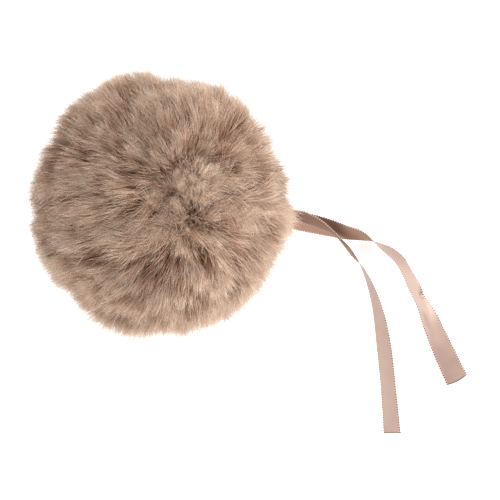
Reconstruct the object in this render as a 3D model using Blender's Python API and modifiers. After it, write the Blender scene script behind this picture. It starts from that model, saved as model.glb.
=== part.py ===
"""Faux-fur pom-pom with two satin ribbon ties, lying on a flat surface.

Metres, +Z up. The origin is on the resting surface, under the middle of the ball.
The gathered mouth of the ball points along the local +Z axis of the empty
"mouth_frame": towards +X and downwards. The ribbon is folded in half, its fold is
sewn into the mouth, and its two tails leave through a parting in the pile.
"""

from math import asin, cos, pi, radians, sin, sqrt

import bmesh
import bpy
from mathutils import Matrix, Vector

MM = 0.001

# The ball.
PILE_RADIUS = 65.0 * MM
BALL_CENTRE = Vector((0.0, 0.0, 61.0 * MM))
BACKING_RADIUS = 35.0 * MM
BACKING_THICKNESS = 1.0 * MM
CORE_RADIUS = 33.4 * MM
PILE_GAP = 0.7 * MM

# The gathered mouth, where the backing is drawn in round the ribbon.
MOUTH_AZIMUTH = radians(-5.0)
MOUTH_DROP = radians(30.0)
MOUTH_RADIUS = 8.0 * MM
HEM_INNER_END = 26.0 * MM
CRATER_RADIUS = 10.2 * MM
CRATER_FLOOR = 17.0 * MM
PARTING_INNER_RADIUS = 9.4 * MM
PARTING_OUTER_RADIUS = 15.0 * MM

# Threads.
THREAD_RADIUS = 0.25 * MM
GATHER_RING_RADIUS = 9.3 * MM
GATHER_RING_PLACE = 29.5 * MM
GATHER_WAVES = 12
GATHER_WAVE_HEIGHT = 0.7 * MM
KNOT_PLACE = (22.0 * MM, 6.3 * MM)
STITCH_PLACES = (27.5 * MM, 30.5 * MM, 33.5 * MM)
STITCH_HALF_WIDTH = 6.6 * MM
STITCH_HALF_HEIGHT = 1.5 * MM

# The ribbon.
RIBBON_WIDTH = 12.0 * MM
RIBBON_THICKNESS = 0.3 * MM
HINGE_LINE = (51.8 * MM, -4.5 * MM)

# The hidden fold, in millimetres and degrees: distance along the mouth axis, height
# above it, and roll. It starts below tail a and ends above it, where tail b begins.
FOLD_ROUTE = (
    (59.4, -4.5, -36),
    (55.0, -4.0, -31),
    (50.0, -3.2, -24),
    (44.0, -2.0, -14),
    (39.0, -1.2, -6),
    (34.0, -0.8, 0),
    (29.0, -0.8, 0),
    (24.5, -0.8, 0),
    (22.0, -1.15, 0),
    (20.4, -0.9, 0),
    (19.8, 0.0, 0),
    (20.4, 0.9, 0),
    (22.0, 1.15, 0),
    (24.5, 0.8, 0),
    (29.0, 0.8, 0),
    (34.0, 0.8, 1),
    (37.0, 1.0, 8),
    (40.0, 1.4, 18),
    (44.0, 2.3, 34),
    (50.0, 3.6, 56),
    (55.6, 4.9, 76),
)

# Each tail, in millimetres and degrees: x, y, z and roll. Roll lifts the edge on the
# left of the direction of travel; past 90 the tail has turned over.
TAIL_A_ROUTE = (
    (51.8, -4.5, 25.8, 36),
    (60.0, -6.0, 22.6, 35),
    (68.6, -7.9, 19.6, 35),
    (81.4, -10.8, 14.2, 41),
    (91.9, -13.7, 10.3, 53),
    (98.3, -15.1, 8.2, 61),
    (103.0, -16.7, 6.9, 74),
    (107.4, -18.6, 6.4, 92),
    (112.6, -21.7, 6.2, 107),
    (116.7, -24.4, 6.0, 114),
    (120.7, -28.3, 5.9, 117),
    (124.2, -34.6, 5.7, 118),
    (127.8, -42.0, 5.4, 124),
    (131.7, -50.3, 5.3, 124),
    (135.1, -57.0, 4.4, 139),
    (138.6, -64.9, 3.7, 147),
    (143.5, -75.5, 2.7, 157),
    (149.9, -88.9, 1.9, 166),
)
TAIL_B_ROUTE = (
    (51.8, -4.5, 37.0, 74),
    (60.0, -4.7, 33.9, 68),
    (68.4, -5.6, 30.2, 62),
    (73.1, -7.1, 27.7, 62),
    (78.5, -9.6, 24.4, 68),
    (83.0, -12.3, 21.0, 78),
    (87.2, -15.0, 17.6, 90),
    (90.0, -18.0, 15.0, 97),
    (94.2, -22.3, 12.0, 102),
    (97.4, -26.1, 9.8, 98),
    (100.4, -30.0, 8.2, 90),
    (102.9, -34.8, 7.0, 84),
    (105.2, -40.2, 6.4, 78),
    (107.2, -46.1, 6.2, 72),
    (109.1, -52.9, 6.0, 67),
    (110.5, -59.6, 5.7, 61),
    (112.4, -72.3, 5.3, 54),
    (113.8, -84.5, 5.2, 53),
    (115.0, -96.7, 5.1, 52),
    (116.7, -115.9, 4.7, 46),
)

SEGMENTS = 40
INNER_SEGMENTS = 28


def clear_scene():
    for old in list(bpy.data.objects):
        bpy.data.objects.remove(old, do_unlink=True)


def make_collection(name):
    collection = bpy.data.collections.new(name)
    bpy.context.scene.collection.children.link(collection)
    return collection


def linear(channel):
    """A display colour channel from 0 to 255, as the linear value a shader takes."""
    value = channel / 255
    return value / 12.92 if value <= 0.04045 else ((value + 0.055) / 1.055) ** 2.4


def make_material(name, colour, roughness):
    material = bpy.data.materials.new(name)
    material.use_nodes = True
    shader = material.node_tree.nodes["Principled BSDF"]
    shader.inputs["Base Color"].default_value = (*(linear(c) for c in colour), 1)
    shader.inputs["Roughness"].default_value = roughness
    shader.inputs["Metallic"].default_value = 0
    material.diffuse_color = shader.inputs["Base Color"].default_value
    return material


def add_object(name, data, material, parent=None):
    obj = bpy.data.objects.new(name, data)
    data.materials.append(material)
    parts.objects.link(obj)
    obj.parent = parent
    return obj


def mesh_from(name, build):
    """A mesh that the given function fills through bmesh, shaded smooth."""
    mesh = bpy.data.meshes.new(name)
    bm = bmesh.new()
    build(bm)
    bm.to_mesh(mesh)
    bm.free()
    mesh.shade_smooth()
    return mesh


def arc(radius, start, end, steps):
    """Points (distance from the mouth axis, place along it); angles from the mouth."""
    angles = [start + (end - start) * i / steps for i in range(steps + 1)]
    return [(radius * sin(a), radius * cos(a)) for a in angles]


def turned(name, profile, material, segments):
    """A profile in the XZ plane, turned about the mouth axis."""

    def build(bm):
        verts = [bm.verts.new((x, 0, z)) for x, z in profile]
        for first, second in zip(verts, verts[1:]):
            bm.edges.new((first, second))

    obj = add_object(name, mesh_from(name, build), material, mouth_frame)
    screw = obj.modifiers.new("Turn", "SCREW")
    screw.axis = "Z"
    screw.steps = segments
    screw.render_steps = segments
    screw.use_merge_vertices = True
    screw.merge_threshold = 0.01 * MM
    screw.use_smooth_shade = True
    return obj


def thread_loop(name, points, material, parent):
    """A closed loop of sewing thread through the points."""
    curve = bpy.data.curves.new(name, "CURVE")
    curve.dimensions = "3D"
    curve.bevel_depth = THREAD_RADIUS
    curve.bevel_resolution = 2
    spline = curve.splines.new("POLY")
    spline.points.add(len(points) - 1)
    for point, place in zip(spline.points, points):
        point.co = (*place, 1)
    spline.use_cyclic_u = True
    spline.use_smooth = True
    return add_object(name, curve, material, parent)


def smooth_route(route, steps=3):
    """A Catmull-Rom curve through the route's stations, roll included."""
    stations = [Vector(station) for station in route]
    stations = [2 * stations[0] - stations[1], *stations, 2 * stations[-1] - stations[-2]]
    result = []
    for p0, p1, p2, p3 in zip(stations, stations[1:], stations[2:], stations[3:]):
        for i in range(steps):
            t = i / steps
            slope = (p2 - p0) * t
            bend = (2 * p0 - 5 * p1 + 4 * p2 - p3) * t**2
            turn = (3 * p1 - p0 - 3 * p2 + p3) * t**3
            result.append(p1 + 0.5 * (slope + bend + turn))
    result.append(stations[-2])
    return result


def ribbon(name, places, rolls, material, side=None, parent=None):
    """A flat strip: a cross edge swept along the places and thickened.

    side is the strip's sideways direction where it has no roll; without one, it is
    the horizontal direction to the left of the direction of travel.
    """

    def edge_ends(i):
        travel = (places[min(i + 1, len(places) - 1)] - places[max(i - 1, 0)]).normalized()
        left = (side or Vector((0, 0, 1)).cross(travel)).normalized()
        across = Matrix.Rotation(rolls[i], 3, travel) @ left
        return [places[i] + across * s * RIBBON_WIDTH / 2 for s in (-1, 1)]

    def build(bm):
        edge = bm.edges.new([bm.verts.new(end) for end in edge_ends(0)])
        for i in range(1, len(places)):
            swept = bmesh.ops.extrude_edge_only(bm, edges=[edge])["geom"]
            edge = next(item for item in swept if isinstance(item, bmesh.types.BMEdge))
            for vert, end in zip(edge.verts, edge_ends(i)):
                vert.co = end

    obj = add_object(name, mesh_from(name, build), material, parent)
    solid = obj.modifiers.new("Thickness", "SOLIDIFY")
    solid.thickness = RIBBON_THICKNESS
    solid.offset = 0
    return obj


def make_mouth_frame():
    empty = bpy.data.objects.new("mouth_frame", None)
    empty.location = BALL_CENTRE
    empty.rotation_euler = (0, pi / 2 + MOUTH_DROP, MOUTH_AZIMUTH)
    empty.empty_display_size = 10 * MM
    parts.objects.link(empty)
    return empty


def make_pile():
    """The fur pile: a thick wall round the backing, parted where the ribbon leaves."""
    inner = BACKING_RADIUS + PILE_GAP
    inner_lip = asin(PARTING_INNER_RADIUS / inner)
    outer_lip = asin((PARTING_OUTER_RADIUS + 1.5 * MM) / PILE_RADIUS)
    lip_place = sqrt(PILE_RADIUS**2 - PARTING_OUTER_RADIUS**2)
    wall_start = inner * cos(inner_lip)
    wall = []
    for i in range(1, 6):
        t = i / 6
        flare = PARTING_INNER_RADIUS + (PARTING_OUTER_RADIUS - PARTING_INNER_RADIUS) * t**2
        wall.append((flare, wall_start + (lip_place - wall_start - 1.5 * MM) * t))
    profile = [(0, -inner)]
    profile += arc(inner, pi, inner_lip, 12)[1:]
    profile += wall
    profile += arc(PILE_RADIUS, outer_lip, pi, 22)[:-1]
    profile += [(0, -PILE_RADIUS)]
    pile = turned("fur_pile", profile, fur, SEGMENTS)

    bpy.ops.mesh.primitive_cube_add(size=4 * PILE_RADIUS)
    table = bpy.context.object
    table.name = "resting_surface_cutter"
    table.location = (0, 0, -2 * PILE_RADIUS)
    table.hide_render = True
    table.display_type = "WIRE"
    for collection in list(table.users_collection):
        collection.objects.unlink(table)
    cutters.objects.link(table)
    rest = pile.modifiers.new("Rest", "BOOLEAN")
    rest.operation = "DIFFERENCE"
    rest.solver = "EXACT"
    rest.object = table


def make_backing():
    """The knitted backing: a thin ball whose gathered edge turns in at the mouth."""
    middle = BACKING_RADIUS - BACKING_THICKNESS / 2
    lip = asin((MOUTH_RADIUS + 1.4 * MM) / middle)
    shoulder = middle * cos(lip)
    hem_length = shoulder - 1.2 * MM - HEM_INNER_END
    hem = [(MOUTH_RADIUS, HEM_INNER_END + hem_length * i / 3) for i in range(4)]
    profile = [*hem, (MOUTH_RADIUS + 0.35 * MM, shoulder - 0.35 * MM)]
    profile += arc(middle, lip, pi, 16)[:-1]
    profile += [(0, -middle)]
    backing = turned("fur_backing", profile, knit, INNER_SEGMENTS)
    shell = backing.modifiers.new("Thickness", "SOLIDIFY")
    shell.thickness = BACKING_THICKNESS
    shell.offset = 0


def make_core():
    """The fibrefill ball, with a crater that takes the hem, knot and ribbon fold."""
    rim = asin((CRATER_RADIUS + 1.0 * MM) / CORE_RADIUS)
    shoulder = CORE_RADIUS * cos(rim)
    crater = [
        (0, CRATER_FLOOR),
        (CRATER_RADIUS - 1.5 * MM, CRATER_FLOOR),
        (CRATER_RADIUS, CRATER_FLOOR + 1.5 * MM),
        (CRATER_RADIUS, shoulder - 1.0 * MM),
    ]
    profile = crater + arc(CORE_RADIUS, rim, pi, 14)[:-1] + [(0, -CORE_RADIUS)]
    turned("fibrefill_core", profile, filling, INNER_SEGMENTS)


def make_gathering_thread():
    """The drawn-up running stitch round the hem, and the knot that holds it."""
    count = GATHER_WAVES * 6
    ring = []
    for i in range(count):
        angle = 2 * pi * i / count
        wave = GATHER_WAVE_HEIGHT * sin(GATHER_WAVES * angle)
        ring.append((
            GATHER_RING_RADIUS * cos(angle),
            GATHER_RING_RADIUS * sin(angle),
            GATHER_RING_PLACE + wave,
        ))
    thread_loop("gathering_thread", ring, thread, mouth_frame)

    turn, swell, count = 0.95 * MM, 0.45 * MM, 42
    along, height = KNOT_PLACE
    knot = []
    for i in range(count):
        angle = 2 * pi * i / count
        reach = turn + swell * cos(3 * angle)
        knot.append((
            reach * cos(2 * angle) - height,
            reach * sin(2 * angle),
            along + swell * sin(3 * angle),
        ))
    thread_loop("gathering_knot", knot, thread, mouth_frame)


def make_anchor_stitches():
    """Thread loops that bind the two layers of the ribbon fold in the mouth."""
    straight = STITCH_HALF_WIDTH - STITCH_HALF_HEIGHT
    for number, place in enumerate(STITCH_PLACES, start=1):
        loop = []
        for side in (1, -1):
            for i in range(9):
                angle = -pi / 2 + pi * i / 8
                loop.append((
                    side * STITCH_HALF_HEIGHT * sin(angle),
                    side * (straight + STITCH_HALF_HEIGHT * cos(angle)),
                    place,
                ))
        thread_loop(f"anchor_stitch_{number}", loop, thread, mouth_frame)


def make_ribbon_fold():
    """The folded middle of the ribbon, in the mouth frame's own coordinates."""
    stations = smooth_route(FOLD_ROUTE)
    places = [Vector((-s[1] * MM, 0, s[0] * MM)) for s in stations]
    rolls = [radians(s[2]) for s in stations]
    ribbon("ribbon_fold", places, rolls, satin, side=Vector((0, 1, 0)), parent=mouth_frame)


def make_tail(name, route):
    """A free tail, with its origin on the vertical line it swings about."""
    hinge = bpy.data.objects.new(f"{name}_hinge", None)
    hinge.location = (*HINGE_LINE, 0)
    hinge.empty_display_size = 10 * MM
    parts.objects.link(hinge)
    stations = smooth_route(route)
    places = [Vector(s[:3]) * MM - hinge.location for s in stations]
    rolls = [radians(s[3]) for s in stations]
    ribbon(name, places, rolls, satin, parent=hinge)


clear_scene()
parts = make_collection("ribbon_tie_pompom")
cutters = make_collection("cutters")
fur = make_material("fur", (165, 140, 122), 0.9)
knit = make_material("knit_backing", (150, 125, 106), 0.95)
filling = make_material("fibrefill", (236, 233, 227), 1.0)
thread = make_material("thread", (158, 128, 112), 0.6)
satin = make_material("satin", (206, 178, 165), 0.35)
mouth_frame = make_mouth_frame()
make_pile()
make_backing()
make_core()
make_gathering_thread()
make_anchor_stitches()
make_ribbon_fold()
make_tail("ribbon_tail_a", TAIL_A_ROUTE)
make_tail("ribbon_tail_b", TAIL_B_ROUTE)
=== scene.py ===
"""Faux-fur pom-pom with two satin ribbon ties: the finished look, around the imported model.

The pile is built strand by strand in three levels: locks, tufts within a lock, and
strands within a tuft, over a shorter and looser underfur. The ribbons are woven strips
with picot edges and sealed ends. Inside are the gathered knit backing and its stuffing.
"""

from math import cos, pi, radians, sin

import bmesh
import bpy
import numpy as np
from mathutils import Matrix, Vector, noise


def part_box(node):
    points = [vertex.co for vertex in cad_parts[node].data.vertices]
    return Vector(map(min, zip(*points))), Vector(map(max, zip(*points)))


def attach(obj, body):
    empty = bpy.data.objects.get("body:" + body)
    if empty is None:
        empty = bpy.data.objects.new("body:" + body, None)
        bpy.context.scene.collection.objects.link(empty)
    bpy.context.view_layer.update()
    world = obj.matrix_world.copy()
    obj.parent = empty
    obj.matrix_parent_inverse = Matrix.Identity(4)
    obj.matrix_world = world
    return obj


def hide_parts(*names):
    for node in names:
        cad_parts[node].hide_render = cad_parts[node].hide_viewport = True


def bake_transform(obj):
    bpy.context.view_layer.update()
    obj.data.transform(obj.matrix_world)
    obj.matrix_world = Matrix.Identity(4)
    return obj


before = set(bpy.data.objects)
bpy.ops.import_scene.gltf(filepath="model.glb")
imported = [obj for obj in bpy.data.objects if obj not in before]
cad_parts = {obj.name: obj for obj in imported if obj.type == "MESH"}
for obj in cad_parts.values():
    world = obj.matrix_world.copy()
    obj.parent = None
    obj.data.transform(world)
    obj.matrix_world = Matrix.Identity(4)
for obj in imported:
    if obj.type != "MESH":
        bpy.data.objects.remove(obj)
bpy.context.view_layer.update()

MM = 0.001

# Places, in the frame of the model.
PILE_LOW, PILE_HIGH = (np.array(corner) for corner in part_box("fur_pile"))
BACKING_LOW, BACKING_HIGH = (np.array(corner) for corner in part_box("fur_backing"))
PILE_RADIUS = (PILE_HIGH[0] - PILE_LOW[0]) / 2
BACKING_RADIUS = (BACKING_HIGH[2] - BACKING_LOW[2]) / 2
BALL_CENTRE = np.array([0, 0, PILE_HIGH[2] - PILE_RADIUS])
MOUTH_AZIMUTH = radians(-5)
MOUTH_DROP = radians(30)
MOUTH_ALONG = np.array([
    cos(MOUTH_DROP) * cos(MOUTH_AZIMUTH),
    cos(MOUTH_DROP) * sin(MOUTH_AZIMUTH),
    -sin(MOUTH_DROP),
])
MOUTH_SIDE = np.array([-sin(MOUTH_AZIMUTH), cos(MOUTH_AZIMUTH), 0])
MOUTH_UP = np.cross(MOUTH_ALONG, MOUTH_SIDE)

# Camera: straight down, far away.
CAMERA_HEIGHT = 1.767
VIEW_CENTRE = (0.0445, -0.0227)
VIEW_WIDTH_ON_FLOOR = 0.255


def make_camera():
    data = bpy.data.cameras.new("camera")
    data.sensor_width = 36
    data.lens = data.sensor_width * CAMERA_HEIGHT / VIEW_WIDTH_ON_FLOOR
    data.clip_end = 10
    camera = bpy.data.objects.new("camera", data)
    camera.location = (*VIEW_CENTRE, CAMERA_HEIGHT)
    bpy.context.scene.collection.objects.link(camera)
    bpy.context.scene.camera = camera


def linear(*channels):
    """Display colour channels from 0 to 255, as the linear values a shader takes."""
    values = [channel / 255 for channel in channels]
    return [v / 12.92 if v <= 0.04045 else ((v + 0.055) / 1.055) ** 2.4 for v in values]


def unit(vectors):
    return vectors / np.linalg.norm(vectors, axis=-1, keepdims=True)


def smoothstep(low, high, value):
    t = np.clip((value - low) / (high - low), 0, 1)
    return t * t * (3 - 2 * t)


# Studio: how bright the surround is, and each soft light's place, width and watts. The
# floor lies just under the model and glows a little.
SURROUND = 0.8
LIGHTS = {
    "overhead": ((0.4, 1.4, 1.75), 2.2, 51),
    "key": ((0.05, -1.15, 0.85), 0.8, 20),
    "side": ((1.2, 0.75, 0.28), 0.8, 8),
}
AIM = (0.02, 0, 0.05)
FLOOR_HALF_SIZE = 3
FLOOR_GAP = 0.2 * MM
FLOOR_GLOW = 0.3


def add_light(name, place, width, watts):
    data = bpy.data.lights.new(name, "AREA")
    data.shape = "DISK"
    data.size = width
    data.energy = watts
    light = bpy.data.objects.new(name, data)
    light.location = place
    light.rotation_euler = (Vector(AIM) - Vector(place)).to_track_quat("-Z", "Y").to_euler()
    bpy.context.scene.collection.objects.link(light)


def make_world():
    """An even surround that lights the object gently and looks white itself."""
    world = bpy.data.worlds.new("surround")
    world.use_nodes = True
    nodes, links = world.node_tree.nodes, world.node_tree.links
    lighting = nodes["Background"]
    lighting.inputs["Color"].default_value = (1, 1, 1, 1)
    lighting.inputs["Strength"].default_value = SURROUND
    seen = nodes.new("ShaderNodeBackground")
    seen.inputs["Color"].default_value = (1, 1, 1, 1)
    path = nodes.new("ShaderNodeLightPath")
    mix = nodes.new("ShaderNodeMixShader")
    links.new(path.outputs["Is Camera Ray"], mix.inputs["Fac"])
    links.new(lighting.outputs["Background"], mix.inputs[1])
    links.new(seen.outputs["Background"], mix.inputs[2])
    links.new(mix.outputs["Shader"], nodes["World Output"].inputs["Surface"])
    bpy.context.scene.world = world


def make_studio():
    """A pale floor, an even surround and soft lights, bright enough to wash the floor out."""
    scene = bpy.context.scene
    scene.view_settings.view_transform = "Standard"
    scene.cycles.denoising_prefilter = "NONE"
    make_world()
    for name, facts in LIGHTS.items():
        add_light(name, *facts)

    bm = bmesh.new()
    bmesh.ops.create_grid(bm, x_segments=1, y_segments=1, size=FLOOR_HALF_SIZE)
    mesh = bpy.data.meshes.new("floor")
    bm.to_mesh(mesh)
    bm.free()
    floor = bpy.data.objects.new("floor", mesh)
    floor.location = (0, 0, -FLOOR_GAP)
    material = bpy.data.materials.new("floor")
    material.use_nodes = True
    shader = material.node_tree.nodes["Principled BSDF"]
    shader.inputs["Base Color"].default_value = (0.9, 0.9, 0.9, 1)
    shader.inputs["Roughness"].default_value = 0.9
    shader.inputs["Specular IOR Level"].default_value = 0.1
    shader.inputs["Emission Color"].default_value = (1, 1, 1, 1)
    shader.inputs["Emission Strength"].default_value = FLOOR_GLOW
    mesh.materials.append(material)
    scene.collection.objects.link(floor)


# ---------------------------------------------------------------- ribbon

RIBBON_WIDTH = 12 * MM
SATIN_THICKNESS = 0.28 * MM
PICOT_PITCH = 1.3 * MM
PICOT_LOOP = 0.16 * MM
PICOT_RISE = 0.07 * MM
BEAD_RISE = 0.16 * MM
STATION_STEP = PICOT_PITCH / 4
FOLD_REACH = 2 * MM

# Places across half the ribbon, as shares of half its width, close together at the edge.
HALF_SECTION = np.array([0, 0.2, 0.4, 0.55, 0.7, 0.83, 0.87, 0.90, 0.95, 0.985, 1])

# Slight ripples in the satin: height, and the wave's length along and across over 2 pi.
RIPPLES = (
    (0.05 * MM, 3.1 * MM, 2.3 * MM),
    (0.04 * MM, 1.7 * MM, -3.7 * MM),
)

# The ribbon lies on the surface: how high its middle stays, and how softly it lands.
LOWEST = 0.3 * MM
LANDING = 0.2 * MM

# The hidden half of each tail, from the fold outwards: distance along the mouth axis,
# height above it and roll. Then the free tail: x, y, z and roll. Metres and degrees.
FOLD_TO_A = (
    (0.0198, 0.0, 0),
    (0.0204, -0.0009, 0),
    (0.0220, -0.00115, 0),
    (0.0245, -0.0008, 0),
    (0.0290, -0.0008, 0),
    (0.0340, -0.0008, 0),
    (0.0390, -0.0012, 6),
    (0.0440, -0.0020, 14),
    (0.0500, -0.0032, 24),
    (0.0550, -0.0040, 31),
    (0.0594, -0.0045, 36),
)
FOLD_TO_B = (
    (0.0198, 0.0, 0),
    (0.0204, 0.0009, 0),
    (0.0220, 0.00115, 0),
    (0.0245, 0.0008, 0),
    (0.0290, 0.0008, 0),
    (0.0340, 0.0008, 1),
    (0.0370, 0.0010, 8),
    (0.0400, 0.0014, 18),
    (0.0440, 0.0023, 34),
    (0.0500, 0.0036, 56),
    (0.0556, 0.0049, 76),
)
TAIL_A_ROUTE = (
    (0.0518, -0.0045, 0.0258, 36),
    (0.0600, -0.0060, 0.0226, 35),
    (0.0686, -0.0079, 0.0196, 35),
    (0.0814, -0.0108, 0.0142, 41),
    (0.0919, -0.0137, 0.0103, 53),
    (0.0983, -0.0151, 0.0082, 61),
    (0.1030, -0.0167, 0.0069, 74),
    (0.1074, -0.0186, 0.0064, 92),
    (0.1126, -0.0217, 0.0062, 107),
    (0.1167, -0.0244, 0.0060, 114),
    (0.1207, -0.0283, 0.0059, 117),
    (0.1242, -0.0346, 0.0057, 118),
    (0.1278, -0.0420, 0.0054, 124),
    (0.1317, -0.0503, 0.0053, 124),
    (0.1351, -0.0570, 0.0044, 139),
    (0.1386, -0.0649, 0.0037, 147),
    (0.1435, -0.0755, 0.0027, 157),
    (0.1499, -0.0889, 0.0019, 166),
)
TAIL_B_ROUTE = (
    (0.0518, -0.0045, 0.0370, 74),
    (0.0600, -0.0047, 0.0339, 68),
    (0.0684, -0.0056, 0.0302, 62),
    (0.0731, -0.0071, 0.0277, 62),
    (0.0785, -0.0096, 0.0244, 68),
    (0.0830, -0.0123, 0.0210, 78),
    (0.0872, -0.0150, 0.0176, 90),
    (0.0900, -0.0180, 0.0150, 97),
    (0.0942, -0.0223, 0.0120, 102),
    (0.0974, -0.0261, 0.0098, 98),
    (0.1004, -0.0300, 0.0082, 90),
    (0.1029, -0.0348, 0.0070, 84),
    (0.1052, -0.0402, 0.0064, 78),
    (0.1072, -0.0461, 0.0062, 72),
    (0.1091, -0.0529, 0.0060, 67),
    (0.1105, -0.0596, 0.0057, 61),
    (0.1124, -0.0723, 0.0053, 54),
    (0.1138, -0.0845, 0.0052, 53),
    (0.1150, -0.0967, 0.0051, 52),
    (0.1167, -0.1159, 0.0047, 46),
)


def in_mouth(along, up):
    return BALL_CENTRE + along * MOUTH_ALONG + up * MOUTH_UP


def smooth_stations(fold, tail):
    """Evenly spaced places and rolls on one smooth curve through both routes."""
    stations = [(*in_mouth(along, up), roll) for along, up, roll in fold] + list(tail)
    points = np.array(stations, float)
    points = np.vstack([2 * points[0] - points[1], points, 2 * points[-1] - points[-2]])
    fine = []
    for p0, p1, p2, p3 in zip(points, points[1:], points[2:], points[3:]):
        t = np.linspace(0, 1, 24, endpoint=False)[:, None]
        turn = (3 * p1 - p0 - 3 * p2 + p3) * t**3
        fine.append(p1 + 0.5 * ((p2 - p0) * t + (2 * p0 - 5 * p1 + 4 * p2 - p3) * t**2 + turn))
    fine = np.vstack([*fine, points[-2:-1]])
    run = np.concatenate([[0], np.linalg.norm(np.diff(fine[:, :3], axis=0), axis=1).cumsum()])
    count = round(run[-1] / STATION_STEP)
    even = np.linspace(0, run[-1], count + 1)
    table = np.stack([np.interp(even, run, fine[:, k]) for k in range(4)], axis=1)
    kernel = np.hanning(13)
    kernel /= kernel.sum()
    padded_roll = np.pad(table[:, 3], len(kernel) // 2, mode="edge")
    return even, table[:, :3], np.radians(np.convolve(padded_roll, kernel, mode="valid"))


def soft_floor(height, level, softness):
    """The height, or the level where that is higher, with a soft turn between them."""
    above = height - level
    return level + 0.5 * (above + np.sqrt(above**2 + softness**2))


def strip_axes(run, places, rolls):
    """The way along the ribbon, the way to its left and the way out of its upper face."""
    travel = unit(np.gradient(places, axis=0))
    flat_left = unit(np.cross(np.array([0, 0, 1.0]), travel))
    flat_left[run < FOLD_REACH] = MOUTH_SIDE
    flat_face = np.cross(travel, flat_left)
    left = np.cos(rolls)[:, None] * flat_left + np.sin(rolls)[:, None] * flat_face
    return travel, left, np.cross(travel, left)


def strip_sheet(run, places, axes, share, rim, width, facts):
    """The sheet midway through the ribbon's thickness: curled, rippled and dented.

    The section curls about the strip's length by the curvatures in curl. Each dent gives
    its run, place across, depth, length and width. bulge rounds the cut end outwards.
    """
    travel, left, face = axes
    along = run[:, None]
    curl = np.interp(run, *facts["curl"])
    bend = np.where(abs(curl) < 1, 1e-3, curl)[:, None]
    x = np.sin(bend * width) / bend
    y = (1 - np.cos(bend * width)) / bend
    for height, wave_along, wave_across in RIPPLES:
        y = y + height * np.sin(along / wave_along + width / wave_across) * (1 - rim)
    for dent_run, dent_across, depth, length, breadth in facts["dents"]:
        dent = np.exp(-(((along - dent_run) / length) ** 2))
        y = y + depth * dent * np.exp(-(((width - dent_across) / breadth) ** 2))
    push = smoothstep(run[-1] - 4 * MM, run[-1], along) * facts["bulge"] * (1 - share**2)
    sheet = places[:, None] + left[:, None] * x[..., None] + face[:, None] * y[..., None]
    sheet = sheet + travel[:, None] * push[..., None]
    sheet[..., 2] = soft_floor(sheet[..., 2], LOWEST, LANDING)
    return sheet


def strip_thickness(run, edge, rim, picot, seal):
    """Thin at the rims, thicker in the picots and in the bead, which is rounded off."""
    thick = SATIN_THICKNESS * (1 - 0.75 * rim) + PICOT_RISE * edge * (1.2 + picot[:, None])
    thick = thick * (1 - 0.3 * seal) + BEAD_RISE * seal
    past_bead = ((run - run[-1] + 0.1 * MM) / (0.12 * MM)).clip(0, 1)
    return thick * np.sqrt(np.clip(1 - past_bead**2, 0.05, 1))[:, None]


def strip_faces(rows, columns):
    """Quads over the upper sheet, over the lower one behind it, and round their border."""
    index = np.arange(rows * columns).reshape(rows, columns)
    low, high = index[:-1], index[1:]
    upper = np.stack([low[:, :-1], high[:, :-1], high[:, 1:], low[:, 1:]], axis=-1).reshape(-1, 4)
    lower = upper[:, ::-1] + rows * columns
    border = np.concatenate([index[0, :], index[1:, -1], index[-1, -2::-1], index[-2:0:-1, 0]])
    under = border + rows * columns
    wall = np.stack([border, np.roll(border, -1), np.roll(under, -1), under], axis=-1)
    return np.concatenate([upper, lower, wall])[:, ::-1]


def ribbon_mesh(name, run, places, rolls, facts):
    """A woven strip: satin body, thicker picot edges, and a sealed bead at the cut end.

    Up to a given run, the glossy face takes the dull back's colour as painted shade. Two fields give,
    by run, how pale the glossy face and the back are, painting highlight on the face and shade on the
    back.
    """
    share = np.concatenate([-HALF_SECTION[::-1], HALF_SECTION[1:]])
    edge = smoothstep(0.83, 0.87, abs(share))
    rim = smoothstep(0.94, 1.0, abs(share))
    picot = np.cos(2 * pi * run / PICOT_PITCH)
    seal = smoothstep(run[-1] - 0.7 * MM, run[-1] - 0.3 * MM, run)[:, None]
    width = share * RIBBON_WIDTH / 2 + np.sign(share) * rim * PICOT_LOOP * picot[:, None]

    axes = strip_axes(run, places, rolls)
    sheet = strip_sheet(run, places, axes, share, rim, width, facts)
    thick = strip_thickness(run, edge, rim, picot, seal)
    offset = axes[2][:, None] * (thick / 2)[..., None]
    verts = np.concatenate([(sheet + offset).reshape(-1, 3), (sheet - offset).reshape(-1, 3)])
    mesh = bpy.data.meshes.new(name)
    mesh.from_pydata(verts.tolist(), [], strip_faces(*width.shape).tolist())
    mesh.update()

    glossy_top = float(facts["glossy"] == "top")
    # Painted shade: up to this span the glossy face takes the dull back's colour, dark where the
    # ribbon leaves the ball.
    past_painted_shade = smoothstep(*facts["painted_shade_span"], run)[:, None]
    # Painted highlight: the glossy face is made paler along the stretches that catch the light.
    face_tone_and_painted_highlight = np.interp(run, *facts["face_tone_and_painted_highlight"])[:, None]
    # Painted shade on the back: darkest on tail b's first stretch beside the ball; elsewhere the
    # back's own tone.
    back_tone_and_painted_shade = np.interp(run, *facts["back_tone_and_painted_shade"])[:, None]
    fields = {
        "run": (run[:, None], run[:, None]),
        "across": (width, width),
        "satin": (glossy_top * past_painted_shade, (1 - glossy_top) * past_painted_shade),
        "face_tone_and_painted_highlight": (face_tone_and_painted_highlight, face_tone_and_painted_highlight),
        "back_tone_and_painted_shade": (back_tone_and_painted_shade, back_tone_and_painted_shade),
        "edge": (edge, edge),
        "seal": (seal, seal),
    }
    for key, sides in fields.items():
        values = np.stack([np.broadcast_to(side, width.shape) for side in sides])
        layer = mesh.attributes.new(key, "FLOAT", "POINT")
        layer.data.foreach_set("value", values.astype(np.float32).ravel())
    mesh.shade_smooth()
    return mesh


def attribute(nodes, name):
    node = nodes.new("ShaderNodeAttribute")
    node.attribute_name = name
    return node.outputs["Fac"]


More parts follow.
